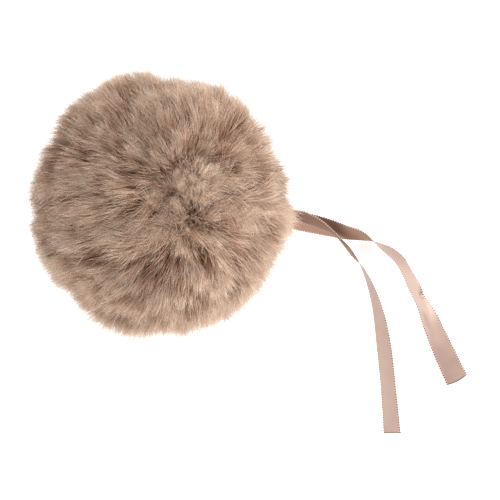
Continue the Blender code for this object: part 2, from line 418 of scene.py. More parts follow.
def mix_colour(nodes, links, factor, first, second):
    node = nodes.new("ShaderNodeMix")
    node.data_type = "RGBA"
    links.new(factor, node.inputs["Factor"])
    for socket, value in ((node.inputs["A"], first), (node.inputs["B"], second)):
        if isinstance(value, bpy.types.NodeSocket):
            links.new(value, socket)
        else:
            socket.default_value = (*linear(*value), 1)
    return node.outputs["Result"]


def math_node(nodes, links, operation, *values):
    node = nodes.new("ShaderNodeMath")
    node.operation = operation
    for socket, value in zip(node.inputs, values):
        if isinstance(value, bpy.types.NodeSocket):
            links.new(value, socket)
        else:
            socket.default_value = value
    return node.outputs[0]


# Satin colours: the glossy face and the back, each from dark to pale, the selvedge, the ticks at its
# picots and the sealed end. The face's pale end paints highlight, and the back's dark end paints
# shade beside the ball.
SATIN_FACE = ((130, 104, 92), (192, 168, 156))
SATIN_BACK = ((84, 52, 38), (146, 115, 98))
SELVEDGE = (216, 188, 172)
TICK = (88, 52, 38)
SEALED_END = (84, 54, 44)
THREADS_ALONG = 260
THREADS_ACROSS = 5200
THREAD_SHADE = 0.3
SATIN_METAL = 0.5


def thread_noise(nodes, links, satin):
    """Fine streaks along the ribbon, different on its two faces."""
    along = math_node(nodes, links, "MULTIPLY", attribute(nodes, "run"), THREADS_ALONG)
    across = math_node(nodes, links, "MULTIPLY", attribute(nodes, "across"), THREADS_ACROSS)
    place = nodes.new("ShaderNodeCombineXYZ")
    links.new(along, place.inputs["X"])
    links.new(across, place.inputs["Y"])
    links.new(satin, place.inputs["Z"])
    threads = nodes.new("ShaderNodeTexNoise")
    threads.inputs["Scale"].default_value = 1.0
    threads.inputs["Detail"].default_value = 3.0
    links.new(place.outputs["Vector"], threads.inputs["Vector"])
    return threads.outputs["Fac"]


def picot_ticks(nodes, links):
    """A dark tick at each picot, along both edges."""
    turn = math_node(nodes, links, "MULTIPLY", attribute(nodes, "run"), 2 * pi / PICOT_PITCH)
    wave = math_node(nodes, links, "COSINE", turn)
    tick = nodes.new("ShaderNodeClamp")
    links.new(math_node(nodes, links, "MULTIPLY_ADD", wave, 3.0, -0.6), tick.inputs["Value"])
    return math_node(nodes, links, "MULTIPLY", tick.outputs["Result"], attribute(nodes, "edge"))


def satin_material():
    """Dusty rose satin: glossy on one face, duller and browner on the other."""
    material = bpy.data.materials.new("satin")
    material.use_nodes = True
    nodes, links = material.node_tree.nodes, material.node_tree.links
    shader = nodes["Principled BSDF"]
    satin = attribute(nodes, "satin")
    threads = thread_noise(nodes, links, satin)

    def threaded(field):
        return math_node(nodes, links, "MULTIPLY_ADD", threads, THREAD_SHADE, attribute(nodes, field))

    # Painted highlight on the glossy face and painted shade on the back, set by run, with thread
    # streaks over them.
    face = mix_colour(nodes, links, threaded("face_tone_and_painted_highlight"), *SATIN_FACE)
    back = mix_colour(nodes, links, threaded("back_tone_and_painted_shade"), *SATIN_BACK)
    body = mix_colour(nodes, links, satin, back, face)
    pale = math_node(nodes, links, "MULTIPLY", attribute(nodes, "edge"), 0.55)
    body = mix_colour(nodes, links, pale, body, SELVEDGE)
    body = mix_colour(nodes, links, picot_ticks(nodes, links), body, TICK)
    sealed = math_node(nodes, links, "MULTIPLY", attribute(nodes, "seal"), 0.8)
    body = mix_colour(nodes, links, sealed, body, SEALED_END)
    links.new(body, shader.inputs["Base Color"])

    rough = math_node(nodes, links, "MULTIPLY_ADD", satin, -0.22, 0.56)
    rough = math_node(nodes, links, "MULTIPLY_ADD", threads, 0.10, rough)
    links.new(rough, shader.inputs["Roughness"])
    metal = math_node(nodes, links, "MULTIPLY", satin, SATIN_METAL)
    links.new(metal, shader.inputs["Metallic"])
    shader.inputs["Specular IOR Level"].default_value = 0.15
    bump = nodes.new("ShaderNodeBump")
    bump.inputs["Strength"].default_value = 0.25
    bump.inputs["Distance"].default_value = 0.08 * MM
    links.new(threads, bump.inputs["Height"])
    links.new(bump.outputs["Normal"], shader.inputs["Normal"])
    return material


# Per tail, by run: where the glossy face shows the back's colour as painted shade, the glossy face's
# paleness with painted highlight, and the back's paleness with painted shade.
RIBBONS = {
    "a": {
        "fold": FOLD_TO_A,
        "tail": TAIL_A_ROUTE,
        "glossy": "bottom",
        "painted_shade_span": (0.03, 0.04),
        "face_tone_and_painted_highlight": ((0, 0.120, 0.130, 0.140, 0.155, 0.178), (0.1, 0.1, 0.40, 0.42, 0.42, 0.18)),
        "back_tone_and_painted_shade": ((0, 0.19), (0.7, 0.7)),
        "curl": ((0, 0.05, 0.10, 0.125, 0.14, 0.165, 0.19), (0, 0, 0, -20, -40, -30, 0)),
        "dents": (
            (0.1415, -4.4 * MM, 1.7 * MM, 2.4 * MM, 1.6 * MM),
            (0.152, 1.0 * MM, -0.7 * MM, 8 * MM, 1.6 * MM),
        ),
        "bulge": 0.8 * MM,
    },
    "b": {
        "fold": FOLD_TO_B,
        "tail": TAIL_B_ROUTE,
        "glossy": "top",
        "painted_shade_span": (0.086, 0.096),
        "face_tone_and_painted_highlight": ((0, 0.10, 0.15, 0.19), (0.1, 0.12, 0.34, 0.38)),
        "back_tone_and_painted_shade": ((0, 0.08, 0.092), (0.0, 0.1, 0.7)),
        "curl": ((0, 0.05, 0.10, 0.14, 0.19), (0, 0, -15, -20, -10)),
        "dents": (),
        "bulge": 0.0,
    },
}


def make_ribbon(tail, facts, material):
    run, places, rolls = smooth_stations(facts["fold"], facts["tail"])
    name = f"satin_ribbon_{tail}"
    mesh = ribbon_mesh(name, run, places, rolls, facts)
    mesh.materials.append(material)
    piece = bpy.data.objects.new(name, mesh)
    bpy.context.scene.collection.objects.link(piece)
    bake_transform(piece)
    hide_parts(f"ribbon_tail_{tail}", "ribbon_fold")


def make_ribbons():
    material = satin_material()
    for tail, facts in RIBBONS.items():
        make_ribbon(tail, facts, material)


# ---------------------------------------------------------------- fur

# The crown: the curved parting on top of the ball that the pile falls away from, and the
# cowlick that stands inside its curve, as places in metres beside the ball's centre.
CROWN = np.array([
    (35.0, 24.0),
    (25.5, 20.0),
    (13.0, 15.0),
    (15.0, 5.0),
    (17.0, -4.0),
    (20.5, -13.5),
    (29.0, -10.0),
]) * MM
COWLICK = np.array([(22.0, 1.0)]) * MM
COWLICK_FLOW = np.array([0.15, 1.0, 0.0])

LOCKS = 700
TUFTS_IN_LOCK = 13
TUFTS = LOCKS * TUFTS_IN_LOCK
STRANDS_IN_TUFT = 12
WISPS = 130
STRANDS_IN_WISP = 70
UNDERFUR = 48000
FLYAWAYS = 16000
LINE_STEPS = 20
RINGS_AT = np.array([0, 8, 13, 17, 20])
RINGS = RINGS_AT / LINE_STEPS
STRAND_RADIUS = 0.08 * MM
ROOT_RADIUS = 0.985 * BACKING_RADIUS
PIECES = 26

# How unevenly the hairs grow: the spread in their turn in radians, in their lean in
# degrees and in how far they reach as a share of the ball's radius.
LOCK_SPREAD = (0.32, 9, 0.026)
TUFT_SPREAD = (0.18, 5, 0.026)
STRAND_SPREAD = (0.14, 6, 0.024)
WISP_SPREAD = (1.0, 12, 0.025)
WISP_STRAND_SPREAD = (0.2, 8, 0.03)
WISP_LEAN = 36
WISP_SHORTER = 0.02

# The hair in no tuft: how many, the spread in turn and lean, and the reach with its spread.
UNDERFUR_GROWTH = (UNDERFUR, 0.7, 20, -0.10, 0.035)
FLYAWAY_GROWTH = (FLYAWAYS, 0.3, 10, 0.02, 0.03)

# The tunnel that the pile leaves for the ribbon: places along the mouth axis, and there
# the height of its middle, half its height and half its width.
TUNNEL_ALONG = np.array([30, 44, 50, 56, 63, 76]) * MM
TUNNEL_MIDDLE = np.array([0, 0.2, 1.5, 1.8, 2.4, 4.3]) * MM
TUNNEL_HALF_HEIGHT = np.array([4.5, 6.0, 8.0, 9.8, 11.2, 11.5]) * MM
TUNNEL_HALF_WIDTH = np.array([7.5, 7.5, 7.5, 7.8, 9.0, 12.0]) * MM
TUNNEL_START = 28 * MM
BARE_MOUTH_RADIUS = 8.6 * MM

# Slow swellings of the ball's outline: how many round it, how high and where.
SWELLINGS = (
    (1, 0.015, 0.45),
    (2, 0.011, 2.3),
    (3, 0.007, 0.0),
    (4, 0.008, -1.1),
    (5, 0.009, 1.4),
    (7, 0.011, 0.35),
    (9, 0.010, -1.6),
)


def even_directions(count, rng, jitter):
    """Directions spread evenly over a sphere on a golden spiral, then shaken a little."""
    index = np.arange(count) + 0.5
    height = 1 - 2 * index / count
    turn = pi * (1 + 5**0.5) * index
    flat = np.sqrt(1 - height**2)
    even = np.stack([flat * np.cos(turn), flat * np.sin(turn), height], axis=1)
    return unit(even + rng.normal(0, jitter / count**0.5, (count, 3)))


def on_ball(places):
    """Directions from the ball's centre to places on its top, given beside the centre."""
    height = np.sqrt(PILE_RADIUS**2 - (places**2).sum(axis=1, keepdims=True))
    return unit(np.hstack([places, height]))


def degrees_between(directions, other):
    return np.degrees(np.arccos(np.clip(directions @ other, -1, 1)))


def flow_from_crown(directions):
    """How far each direction is from the crown, the way the pile falls there, and how
    much of the cowlick it has."""
    t = np.linspace(0, len(CROWN) - 1, 61)
    corner = np.arange(len(CROWN))
    crown = on_ball(np.stack([np.interp(t, corner, CROWN[:, k]) for k in range(2)], axis=1))
    closeness = directions @ crown.T
    nearest = crown[closeness.argmax(axis=1)]
    angle = np.degrees(np.arccos(np.clip(closeness.max(axis=1), -1, 1)))
    away = directions - nearest
    cowlick = 1 - smoothstep(6, 11, degrees_between(directions, on_ball(COWLICK)[0]))
    away = unit(away + 1e-9) * (1 - cowlick[:, None]) + COWLICK_FLOW * cowlick[:, None]
    away -= directions * (away * directions).sum(1, keepdims=True)
    return angle, unit(away + 1e-9), cowlick


def outline(directions):
    """The slow swellings in the ball's outer radius, as a factor."""
    x, y, z = directions.T
    azimuth = np.arctan2(y, x)
    swelling = sum(height * np.cos(count * azimuth + phase) for count, height, phase in SWELLINGS)
    return 1 + np.sqrt(1 - z**2) * swelling


def lines_from(roots, flow, lean, tip_radius):
    """Strand lines that leave the backing near upright and lean over towards the tip."""
    up = unit(roots)
    t = (np.arange(LINE_STEPS) + 0.5) / LINE_STEPS
    start = radians(6)
    bend = start + (lean[:, None] - start) * t**1.35
    none = np.zeros((len(roots), 1))
    rise = np.hstack([none, np.cos(bend).cumsum(1)])[:, RINGS_AT] / LINE_STEPS
    drift = np.hstack([none, np.sin(bend).cumsum(1)])[:, RINGS_AT] / LINE_STEPS
    whole = up * rise[:, -1:] + flow * drift[:, -1:]
    a = (whole**2).sum(1)
    b = 2 * (roots * whole).sum(1)
    c = (roots**2).sum(1) - tip_radius**2
    length = (-b + np.sqrt(np.maximum(b**2 - 4 * a * c, 0))) / (2 * a)
    offset = up[:, None] * rise[..., None] + flow[:, None] * drift[..., None]
    return roots[:, None] + offset * length[:, None, None]


def lean_profile(angle):
    """The tip's lean in degrees: least at the crown, combed over beside it, then open."""
    return (24 + 49 * smoothstep(0, 14, angle)) * (1 - 0.40 * smoothstep(50, 110, angle))


def part_round_ribbon(points):
    """Pushes the pile out of the ribbon's way, in an oval tunnel that opens outwards."""
    along = points @ MOUTH_ALONG
    side = points @ MOUTH_SIDE
    up = points @ MOUTH_UP
    middle = np.interp(along, TUNNEL_ALONG, TUNNEL_MIDDLE)
    x = side / np.interp(along, TUNNEL_ALONG, TUNNEL_HALF_WIDTH)
    y = (up - middle) / np.interp(along, TUNNEL_ALONG, TUNNEL_HALF_HEIGHT)
    radius = np.sqrt(x**2 + y**2) + 1e-6
    pushed = (radius**5 + 1) ** 0.2
    scale = np.where(along > TUNNEL_START, pushed / radius, 1)
    moved = np.stack([along, side * scale, middle + (up - middle) * scale], axis=-1)
    return moved @ np.stack([MOUTH_ALONG, MOUTH_SIDE, MOUTH_UP])


def clear_of_mouth(roots):
    """Which roots stand outside the backing's mouth."""
    along = roots @ MOUTH_ALONG
    off_axis = np.linalg.norm(roots - along[:, None] * MOUTH_ALONG, axis=1)
    return (along < 0) | (off_axis > BARE_MOUTH_RADIUS)


def rest_on_floor(points):
    """Bends the pile under the ball over onto the surface, and outwards."""
    softness = 2.0 * MM
    height = points[..., 2] + BALL_CENTRE[2]
    lifted = softness * np.logaddexp(0, height / softness)
    spread = 1 + 0.6 * (lifted - height)[..., None] / PILE_RADIUS
    flat = points[..., :2] * spread
    return np.concatenate([flat, (lifted - BALL_CENTRE[2])[..., None]], axis=-1)


def sway(lines, rng, size):
    """A slight wave along each line, none at its root."""
    count = len(lines)
    way = rng.normal(0, size, (count, 1, 3))
    phase = rng.uniform(0, 2 * pi, (count, 1))
    swing = np.sin(phase + RINGS * rng.uniform(4, 9, (count, 1))) * RINGS
    return lines + way * swing[..., None]


def uneven(rng, spread, count):
    """A random turn, lean and reach for each of count hairs."""
    return [rng.normal(0, size, count) for size in spread]


def make_locks(rng):
    """The locks' places on the ball, and how each one turns, leans, reaches and is toned: a random
    tone plus painted light, paler towards the lit +x side.
    """
    at = even_directions(LOCKS, rng, 1.2)
    turn, lean, length = uneven(rng, LOCK_SPREAD, LOCKS)
    # Painted light: tone rises with x, so locks on the +x side, where the lights fall, are paler and
    # those on the -x side darker.
    tone = rng.normal(0, 1, LOCKS) + 1.5 * at[:, 0]
    return {"at": at, "turn": turn, "lean": lean, "length": length, "tone": tone}


def nearest_lock(locks, at):
    return (at @ locks["at"].T).argmax(axis=1)


def grow(locks, directions, lock, turn, lean, length):
    """Lines rooted in the given directions, with their locks' turn, lean and reach, to
    which their own are added."""
    angle, flow, cowlick = flow_from_crown(directions)
    turn = (locks["turn"][lock] + turn) * (1 - 0.4 * cowlick)
    beside = np.cross(directions, flow)
    flow = flow * np.cos(turn)[:, None] + beside * np.sin(turn)[:, None]
    lock_lean = locks["lean"][lock]
    lean = lean_profile(angle) + lock_lean * smoothstep(0, 12, angle) + lean
    lean = lean * (1 - cowlick) + (58 + lock_lean * 0.6) * cowlick
    valley = (1 - smoothstep(1, 6, angle)) * (1 - cowlick)
    tip = PILE_RADIUS * (0.985 + locks["length"][lock] + length) * outline(directions)
    tip = tip * (1 - 0.03 * valley)
    return lines_from(directions * ROOT_RADIUS, flow, np.radians(lean), tip)


def openness(directions):
    """The locks hold together near the crown and open out towards the ball's side."""
    angle = flow_from_crown(directions)[0]
    return 1 - 0.4 * smoothstep(45, 95, angle)[:, None, None]


def clumps(lines, heads, closeness):
    """Draws each line towards the line at the middle of its clump, then frays the tip."""
    rise_and_fray = smoothstep(0.05, 0.85, RINGS) * (1 - 0.3 * smoothstep(0.8, 1.0, RINGS))
    gather = closeness * rise_and_fray[:, None]
    return lines * (1 - gather) + heads * gather


def main_coat(locks, rng):
    """Strands in tufts and tufts in locks: their lines, their tufts and their tones."""
    none = np.zeros(LOCKS)
    lock_lines = grow(locks, locks["at"], np.arange(LOCKS), none, none, none)
    spacing = (4 * pi / LOCKS) ** 0.5

    lock = np.repeat(np.arange(LOCKS), TUFTS_IN_LOCK)
    tuft_at = unit(locks["at"][lock] + rng.normal(0, 0.42 * spacing, (TUFTS, 3)))
    turn, lean, length = uneven(rng, TUFT_SPREAD, TUFTS)
    tuft_lines = grow(locks, tuft_at, lock, turn, lean, length)
    gather = 0.66 * smoothstep(0.2, 1.0, RINGS)[:, None] * openness(tuft_at)
    tuft_lines = sway(tuft_lines * (1 - gather) + lock_lines[lock] * gather, rng, 0.6 * MM)

    tuft = np.repeat(np.arange(TUFTS), STRANDS_IN_TUFT)
    strands = len(tuft)
    tuft_spacing = spacing / TUFTS_IN_LOCK**0.5
    at = unit(tuft_at[tuft] + rng.normal(0, 0.5 * tuft_spacing, (strands, 3)))
    own_turn, own_lean, own_length = uneven(rng, STRAND_SPREAD, strands)
    lines = grow(
        locks,
        at,
        lock[tuft],
        turn[tuft] + own_turn,
        lean[tuft] + own_lean,
        length[tuft] + own_length,
    )
    closeness = rng.uniform(0.35, 0.92, strands)[:, None, None] * openness(at)
    lines = clumps(lines, tuft_lines[tuft], closeness)
    tone = 0.55 * locks["tone"][lock[tuft]] + 1.15 * rng.normal(0, 1, TUFTS)[tuft]
    return lines, tuft, tone + rng.normal(0, 0.3, strands)


def crown_wisps(locks, rng):
    """Tousled wisps along the crown: their strands' lines, wisps and locks."""
    corner = rng.uniform(0, len(CROWN) - 1, WISPS)
    crown_at = [np.interp(corner, np.arange(len(CROWN)), CROWN[:, k]) for k in range(2)]
    wisp_at = unit(on_ball(np.stack(crown_at, axis=1)) + rng.normal(0, 0.09, (WISPS, 3)))
    turn, lean, length = uneven(rng, WISP_SPREAD, WISPS)
    lean = lean + WISP_LEAN
    length = length - WISP_SHORTER
    lock = nearest_lock(locks, wisp_at)
    wisp_lines = sway(grow(locks, wisp_at, lock, turn, lean, length), rng, 1.2 * MM)

    wisp = np.repeat(np.arange(WISPS), STRANDS_IN_WISP)
    at = unit(wisp_at[wisp] + rng.normal(0, 0.03, (len(wisp), 3)))
    own_turn, own_lean, own_length = uneven(rng, WISP_STRAND_SPREAD, len(wisp))
    lines = grow(
        locks,
        at,
        lock[wisp],
        turn[wisp] + own_turn,
        lean[wisp] + own_lean,
        length[wisp] + own_length,
    )
    closeness = rng.uniform(0.3, 0.85, len(wisp))[:, None, None]
    return clumps(lines, wisp_lines[wisp], closeness), wisp, lock[wisp]


def loose_hair(locks, rng, count, turn, lean, length, spread):
    """Single hairs over the whole ball, in no tuft: their lines and their locks."""
    at = even_directions(count, rng, 3.0)
    lengths = rng.normal(length, spread, count)
    turns, leans = uneven(rng, (turn, lean), count)
    lock = nearest_lock(locks, at)
    return grow(locks, at, lock, turns, leans, lengths), lock


def make_strands():
    """All strand lines, with the lock and bake column that each belongs to, how far up
    the colour ramp its tip reaches, and its tone. Last, the places of the locks."""
    rng = np.random.default_rng(7)
    locks = make_locks(rng)
    coat, tuft, coat_tone = main_coat(locks, rng)
    tousle, wisp, wisp_lock = crown_wisps(locks, rng)
    under, under_lock = loose_hair(locks, rng, *UNDERFUR_GROWTH)
    fly, fly_lock = loose_hair(locks, rng, *FLYAWAY_GROWTH)
    lines = sway(np.concatenate([coat, tousle, under, fly]), rng, 0.3 * MM)
    lock = np.concatenate([tuft // TUFTS_IN_LOCK, wisp_lock, under_lock, fly_lock])
    column = np.concatenate([
        tuft,
        wisp_lock * TUFTS_IN_LOCK,
        TUFTS + under_lock,
        fly_lock * TUFTS_IN_LOCK,
    ])
    reach = np.concatenate([
        rng.normal(0.94, 0.09, TUFTS).clip(0.72, 1.02)[tuft],
        np.full(len(wisp), 0.9),
        np.full(UNDERFUR, 0.45),
        np.ones(FLYAWAYS),
    ])
    tone = np.concatenate([
        coat_tone,
        rng.normal(0.9, 0.8, WISPS)[wisp] + rng.normal(0, 0.5, len(wisp)),
        rng.normal(-0.2, 0.8, UNDERFUR),
        rng.normal(0.5, 1, FLYAWAYS),
    ])
    kept = clear_of_mouth(lines[:, 0])
    lines = rest_on_floor(part_round_ribbon(lines))
    return lines[kept], lock[kept], column[kept], reach[kept], tone[kept], locks["at"]


def strand_pattern():
    """One strand's faces: the vertices at their corners, how many corners each has, and
    the bake coordinates of the corners. Three-sided, with a closed root and a point."""
    corners = []
    sizes = []
    uv = []
    for ring in range(len(RINGS) - 2):
        for side in range(3):
            after = (side + 1) % 3
            low, high = 3 * ring, 3 * (ring + 1)
            left, right = side / 3, (side + 1) / 3
            v0, v1 = RINGS[ring], RINGS[ring + 1]
            corners += [low + side, low + after, high + after, high + side]
            uv += [(left, v0), (right, v0), (right, v1), (left, v1)]
            sizes.append(4)
    last = 3 * (len(RINGS) - 2)
    for side in range(3):
        left, right = side / 3, (side + 1) / 3
        corners += [last + side, last + (side + 1) % 3, last + 3]
        uv += [(left, RINGS[-2]), (right, RINGS[-2]), ((left + right) / 2, 1)]
        sizes.append(3)
    corners += [2, 1, 0]
    uv += [(0.66, 0), (0.33, 0.02), (0, 0)]
    sizes.append(3)
    return np.array(corners), np.array(sizes), np.array(uv)


def strand_mesh(name, lines, column, reach, tone):
    """Closed three-sided strands that taper to a point, as one mesh."""
    count = len(lines)
    travel = unit(np.gradient(lines, axis=1))
    across = unit(np.cross(travel, np.array([0.31, 0.52, 0.79])))
    beside = np.cross(travel, across)
    thickness = np.interp(RINGS, [0, 0.5, 0.85, 1], [1.0, 1.0, 0.7, 0.25]) * STRAND_RADIUS
    body = []
    for side in range(3):
        angle = 2 * pi * side / 3
        offset = cos(angle) * across[:, :-1] + sin(angle) * beside[:, :-1]
        body.append(lines[:, :-1] + offset * thickness[None, :-1, None])
    body = np.stack(body, axis=2)
    verts = np.concatenate([body.reshape(count, -1, 3), lines[:, -1:]], axis=1)
    per = verts.shape[1]

    corners, sizes, uv = strand_pattern()
    loops = (corners[None] + per * np.arange(count)[:, None]).ravel()
    totals = np.tile(sizes, count)
    starts = np.concatenate([[0], totals.cumsum()[:-1]])
    mesh = bpy.data.meshes.new(name)
    mesh.vertices.add(count * per)
    mesh.vertices.foreach_set("co", (verts + BALL_CENTRE).astype(np.float32).ravel())
    mesh.loops.add(len(loops))
    mesh.loops.foreach_set("vertex_index", loops.astype(np.int32))
    mesh.polygons.add(len(totals))
    mesh.polygons.foreach_set("loop_start", starts.astype(np.int32))
    mesh.polygons.foreach_set("use_smooth", np.ones(len(totals), bool))
    mesh.update(calc_edges=True)

    along = np.concatenate([np.repeat(RINGS[:-1], 3), [1]])
    fields = {"along": (along[None] * reach[:, None]).ravel(), "tone": np.repeat(tone, per)}
    for key, values in fields.items():
        layer = mesh.attributes.new(key, "FLOAT", "POINT")
        layer.data.foreach_set("value", values.astype(np.float32))
    columns, place = np.unique(column, return_inverse=True)
    u = (place[:, None] + uv[None, :, 0]) / len(columns)
    v = np.broadcast_to(0.004 + 0.992 * uv[None, :, 1], u.shape)
    layer = mesh.uv_layers.new(name="OFBake")
    layer.data.foreach_set("uv", np.stack([u, v], axis=-1).astype(np.float32).ravel())
    return mesh


# The pile's colour at places from the root to a full-length tip, and the tones between
# which a strand's shade varies.
FUR_STOPS = {
    0.0: (140, 85, 57),
    0.5: (170, 121, 92),
    0.78: (210, 181, 158),
    1.0: (248, 234, 217),
}
DARKEST_TONE, PALEST_TONE = -2.5, 2.5


def by_tone(nodes, links, value, low, high):
    """A number that goes from low at the darkest tone to high at the palest."""
    node = nodes.new("ShaderNodeMapRange")
    node.inputs["From Min"].default_value = DARKEST_TONE
    node.inputs["From Max"].default_value = PALEST_TONE
    node.inputs["To Min"].default_value = low
    node.inputs["To Max"].default_value = high
    links.new(value, node.inputs["Value"])
    return node.outputs["Result"]


def fur_material():
    """Taupe pile: warm brown at the root, pale at the tip, each strand a little different."""
    material = bpy.data.materials.new("fur")
    material.use_nodes = True
    nodes, links = material.node_tree.nodes, material.node_tree.links
    shader = nodes["Principled BSDF"]
    shader.inputs["Roughness"].default_value = 0.6
    shader.inputs["Specular IOR Level"].default_value = 0.1
    ramp = nodes.new("ShaderNodeValToRGB")
    while len(ramp.color_ramp.elements) < len(FUR_STOPS):
        ramp.color_ramp.elements.new(0.5)
    for element, (place, colour) in zip(ramp.color_ramp.elements, FUR_STOPS.items()):
        element.position = place
        element.color = (*linear(*colour), 1)
    links.new(attribute(nodes, "along"), ramp.inputs["Fac"])
    # The tone holds random differences and painted light: strands on the +x side are paler.
    tone = attribute(nodes, "tone")
    shade = nodes.new("ShaderNodeHueSaturation")
    links.new(by_tone(nodes, links, tone, 0.74, 1.26), shade.inputs["Value"])
    links.new(by_tone(nodes, links, tone, 1.12, 0.92), shade.inputs["Saturation"])
    links.new(ramp.outputs["Color"], shade.inputs["Color"])
    links.new(shade.outputs["Color"], shader.inputs["Base Color"])
    glow = nodes.new("ShaderNodeBsdfTranslucent")
    links.new(shade.outputs["Color"], glow.inputs["Color"])
    mix = nodes.new("ShaderNodeMixShader")
    mix.inputs["Fac"].default_value = 0.4
    links.new(shader.outputs["BSDF"], mix.inputs[1])
    links.new(glow.outputs["BSDF"], mix.inputs[2])
    links.new(mix.outputs["Shader"], nodes["Material Output"].inputs["Surface"])
    return material


def make_fur():
    """The pile in level bands of whole locks, with about as many strands in each."""
    lines, lock, column, reach, tone, lock_at = make_strands()
    material = fur_material()
    upwards = np.argsort(lock_at[:, 2], kind="stable")
    strands_below = np.bincount(lock, minlength=LOCKS)[upwards].cumsum()
    band = np.empty(LOCKS, int)
    band[upwards] = (strands_below - 1) * PIECES // strands_below[-1]
    for number in range(PIECES):
        mine = band[lock] == number
        name = f"fur_{number + 1:02d}"
        mesh = strand_mesh(name, lines[mine], column[mine], reach[mine], tone[mine])
        mesh.materials.append(material)
        piece = bpy.data.objects.new(name, mesh)
        bpy.context.scene.collection.objects.link(piece)
        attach(piece, "pompom")
        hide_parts("fur_pile")


# ---------------------------------------------------------------- inside

# Backing and stuffing, both turned about the mouth axis. HEM_DEPTH and WELL_FLOOR are
# places along that axis, from the ball's centre. The gathers come in between the two
# distances from the centre in GATHERS_FROM.
TURNS = 168
MOUTH_OFF = 9.6 * MM
HEM_DEPTH = 26 * MM
HEM_TURN = 2.0 * MM
BACKING_THICKNESS = 0.9 * MM
GATHERS_FROM = (33.2 * MM, 33.9 * MM)
PLEATS = 12
PLEAT_HEIGHT = 0.5 * MM
PLEAT_FADE = 14
HEM_WAVE = 0.3 * MM
WALES = 220
COURSE = 0.9 * MM
CORE_RADIUS = 33.0 * MM
WELL_RADIUS = 10.2 * MM
WELL_FLOOR = 17 * MM
LUMP = 0.2 * MM


def arc(middle, radius, first, last, count):
    """Points on a circle: each distance off the mouth axis and place along it, for angles
    measured from the mouth axis in degrees."""
    angle = np.radians(np.linspace(first, last, count))
    round_middle = np.stack([np.sin(angle), np.cos(angle)], axis=1)
    return np.array(middle) + radius * round_middle


def turned(name, profile, shift):
    """A closed body turned about the mouth axis. The profile starts and ends on the axis,
    and shift gives the move off the axis and along it, for each profile point and turn."""
    theta = 2 * pi * np.arange(TURNS) / TURNS
    moved = profile[1:-1, None] + shift(profile[1:-1], theta)
    round_axis = np.cos(theta)[:, None] * MOUTH_SIDE + np.sin(theta)[:, None] * MOUTH_UP
    places = moved[..., :1] * round_axis[None] + moved[..., 1:] * MOUTH_ALONG
    rings = len(places)
    poles = profile[[0, -1], 1:] * MOUTH_ALONG
    verts = np.concatenate([places.reshape(-1, 3), poles]) + BALL_CENTRE
    index = np.arange(rings * TURNS).reshape(rings, TURNS)
    after = np.roll(index, -1, axis=1)
    quads = np.stack([index[:-1], after[:-1], after[1:], index[1:]], axis=-1).reshape(-1, 4)
    first = [(rings * TURNS, b, a) for a, b in zip(index[0].tolist(), after[0].tolist())]
    last = [(rings * TURNS + 1, a, b) for a, b in zip(index[-1].tolist(), after[-1].tolist())]
    mesh = bpy.data.meshes.new(name)
    mesh.from_pydata(verts.tolist(), [], quads.tolist() + first + last)
    mesh.update()
    bm = bmesh.new()
    bm.from_mesh(mesh)
    bmesh.ops.recalc_face_normals(bm, faces=bm.faces)
    bm.to_mesh(mesh)
    bm.free()
    mesh.shade_smooth()
    run = np.concatenate([[0], np.linalg.norm(np.diff(profile, axis=0), axis=1).cumsum()])
    wale = np.broadcast_to(WALES * theta / (2 * pi), (rings, TURNS)).ravel()
    course = np.repeat(run[1:-1] / COURSE, TURNS)
    fields = {
        "wale": np.concatenate([wale, [0, 0]]),
        "course": np.concatenate([course, [0, run[-1] / COURSE]]),
    }
    for key, values in fields.items():
        layer = mesh.attributes.new(key, "FLOAT", "POINT")
        layer.data.foreach_set("value", values.astype(np.float32))
    piece = bpy.data.objects.new(name, mesh)
    bpy.context.scene.collection.objects.link(piece)
    return piece


def backing_profile():
    """The knit's outer face from the back of the ball, the turned-in hem, the inner face."""
    inner = BACKING_RADIUS - BACKING_THICKNESS
    edge_angle = np.degrees(np.arcsin(MOUTH_OFF / BACKING_RADIUS))
    inner_angle = np.degrees(np.arcsin(MOUTH_OFF / inner))
    middle = (MOUTH_OFF, BACKING_RADIUS * cos(radians(edge_angle)) - HEM_TURN)
    outside = arc((0, 0), BACKING_RADIUS, 180, edge_angle, 90)
    over = arc(middle, HEM_TURN, 0, -90, 7)
    down = np.stack([np.full(7, over[-1, 0]), np.linspace(over[-1, 1], HEM_DEPTH, 7)], axis=1)
    up = down[::-1] + np.array([BACKING_THICKNESS, 0])
    back = arc(middle, HEM_TURN - BACKING_THICKNESS, -90, 0, 5)
    inside = arc((0, 0), inner, inner_angle + 0.4, 180, 90)
    return np.concatenate([outside, over[1:], down[1:], up, back[1:], inside])


def pleat(points, theta):
    """Gathers at the mouth that die away over the ball, and a slight wave in the hem."""
    distance = np.linalg.norm(points, axis=1)
    angle = np.degrees(np.arctan2(points[:, 0], points[:, 1]))
    on_ball_face = smoothstep(*GATHERS_FROM, distance)
    height = PLEAT_HEIGHT * np.exp(-(angle - 16).clip(0) / PLEAT_FADE)
    radial = (points / distance[:, None]) * (height * on_ball_face)[:, None]
    sideways = np.stack([HEM_WAVE * (1 - on_ball_face), np.zeros(len(points))], axis=1)
    return (radial + sideways)[:, None] * np.cos(PLEATS * theta)[None, :, None]


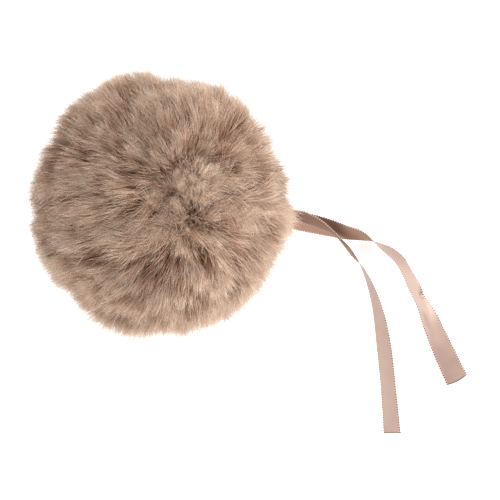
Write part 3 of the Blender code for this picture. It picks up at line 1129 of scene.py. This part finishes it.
def core_profile():
    """The stuffing, with a well at the mouth for the hem and the ribbon's fold."""
    corner = 1.5 * MM
    rim = 1.0 * MM
    rim_off = WELL_RADIUS + rim
    rim_along = ((CORE_RADIUS - rim) ** 2 - rim_off**2) ** 0.5
    rim_angle = np.degrees(np.arctan2(rim_off, rim_along))
    floor = np.stack([np.linspace(0, WELL_RADIUS - corner, 9), np.full(9, WELL_FLOOR)], axis=1)
    turn_up = arc((WELL_RADIUS - corner, WELL_FLOOR + corner), corner, 180, 90, 5)
    side_along = np.linspace(WELL_FLOOR + corner, rim_along, 12)
    side = np.stack([np.full(12, WELL_RADIUS), side_along], axis=1)
    over = arc((rim_off, rim_along), rim, -90, rim_angle, 7)
    outside = arc((0, 0), CORE_RADIUS, rim_angle, 180, 100)
    return np.concatenate([floor, turn_up[1:], side[1:], over[1:], outside[1:]])


def lumps(points, theta):
    """The uneven swell of packed fibre, over the outside of the stuffing."""
    outer = smoothstep(0.985, 1.0, np.linalg.norm(points, axis=1) / CORE_RADIUS)
    swell = np.zeros((len(points), TURNS))
    for row, (off, along) in enumerate(points.tolist()):
        for column, turn in enumerate(theta.tolist()):
            place = Vector((off * cos(turn), off * sin(turn), along))
            swell[row, column] = noise.noise(place * 160) + 0.5 * noise.noise(place * 520)
    ways = points / np.linalg.norm(points, axis=1, keepdims=True)
    return LUMP * (swell * outer[:, None])[..., None] * ways[:, None]


def plain_material(name, roughness):
    material = bpy.data.materials.new(name)
    material.use_nodes = True
    shader = material.node_tree.nodes["Principled BSDF"]
    shader.inputs["Roughness"].default_value = roughness
    shader.inputs["Specular IOR Level"].default_value = 0.2
    return material, material.node_tree.nodes, material.node_tree.links, shader


def add_bump(nodes, links, shader, height, distance):
    bump = nodes.new("ShaderNodeBump")
    bump.inputs["Strength"].default_value = 0.6
    bump.inputs["Distance"].default_value = distance
    links.new(height, bump.inputs["Height"])
    links.new(bump.outputs["Normal"], shader.inputs["Normal"])


def knit_material():
    """Weft knit: columns of small V stitches, with darker gaps between them."""
    material, nodes, links, shader = plain_material("knit", 0.85)
    wale = attribute(nodes, "wale")
    column = math_node(nodes, links, "SINE", math_node(nodes, links, "MULTIPLY", wale, pi))
    leg = math_node(nodes, links, "ABSOLUTE", column)
    slant = math_node(nodes, links, "MULTIPLY_ADD", leg, 0.35, attribute(nodes, "course"))
    row = math_node(nodes, links, "COSINE", math_node(nodes, links, "MULTIPLY", slant, 2 * pi))
    rise = math_node(nodes, links, "MULTIPLY_ADD", row, 0.35, 0.5)
    stitch = math_node(nodes, links, "MULTIPLY", rise, leg)
    body = mix_colour(nodes, links, stitch, (104, 78, 60), (176, 146, 122))
    links.new(body, shader.inputs["Base Color"])
    add_bump(nodes, links, shader, stitch, 0.3 * MM)
    return material


def fibre_noise(nodes, links, scale, detail):
    place = nodes.new("ShaderNodeTexCoord")
    texture = nodes.new("ShaderNodeTexNoise")
    texture.inputs["Scale"].default_value = scale
    texture.inputs["Detail"].default_value = detail
    texture.inputs["Distortion"].default_value = 1.5
    links.new(place.outputs["Object"], texture.inputs["Vector"])
    return texture.outputs["Fac"]


def fibrefill_material():
    """Packed white polyester fibre: fine tangled strands over soft shadows."""
    material, nodes, links, shader = plain_material("fibrefill", 0.9)
    broad = fibre_noise(nodes, links, 160, 2)
    fine = fibre_noise(nodes, links, 1800, 6)
    tangle = math_node(nodes, links, "MULTIPLY_ADD", fine, 1.6, -0.3)
    tangle = math_node(nodes, links, "MULTIPLY_ADD", broad, 0.4, tangle)
    body = mix_colour(nodes, links, tangle, (196, 192, 184), (244, 242, 236))
    links.new(body, shader.inputs["Base Color"])
    add_bump(nodes, links, shader, fine, 0.3 * MM)
    return material


def thread_material():
    """Sewing thread: a fine slanting twist, darker between the plies."""
    material, nodes, links, shader = plain_material("thread", 0.6)
    place = nodes.new("ShaderNodeTexCoord")
    plies = nodes.new("ShaderNodeTexWave")
    plies.bands_direction = "DIAGONAL"
    plies.inputs["Scale"].default_value = 1800
    plies.inputs["Distortion"].default_value = 0.6
    links.new(place.outputs["Object"], plies.inputs["Vector"])
    body = mix_colour(nodes, links, plies.outputs["Fac"], (92, 68, 54), (168, 138, 116))
    links.new(body, shader.inputs["Base Color"])
    add_bump(nodes, links, shader, plies.outputs["Fac"], 0.08 * MM)
    return material


def make_inside():
    """The backing, the stuffing, and a thread finish for the stitches kept from the model."""
    backing = turned("knit_backing", backing_profile(), pleat)
    backing.data.materials.append(knit_material())
    core = turned("fibrefill", core_profile(), lumps)
    core.data.materials.append(fibrefill_material())
    padded_pieces = (
        (backing, "knit_backing", "fur_backing"),
        (core, "fibrefill", "fibrefill_core"),
    )
    for piece, slot, node in padded_pieces:
        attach(piece, "pompom")
        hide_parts(node)
    thread = thread_material()
    for name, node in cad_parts.items():
        if name.startswith(("gathering", "anchor_stitch")):
            node.data.materials.clear()
            node.data.materials.append(thread)


make_camera()
make_studio()
make_ribbons()
make_inside()
make_fur()
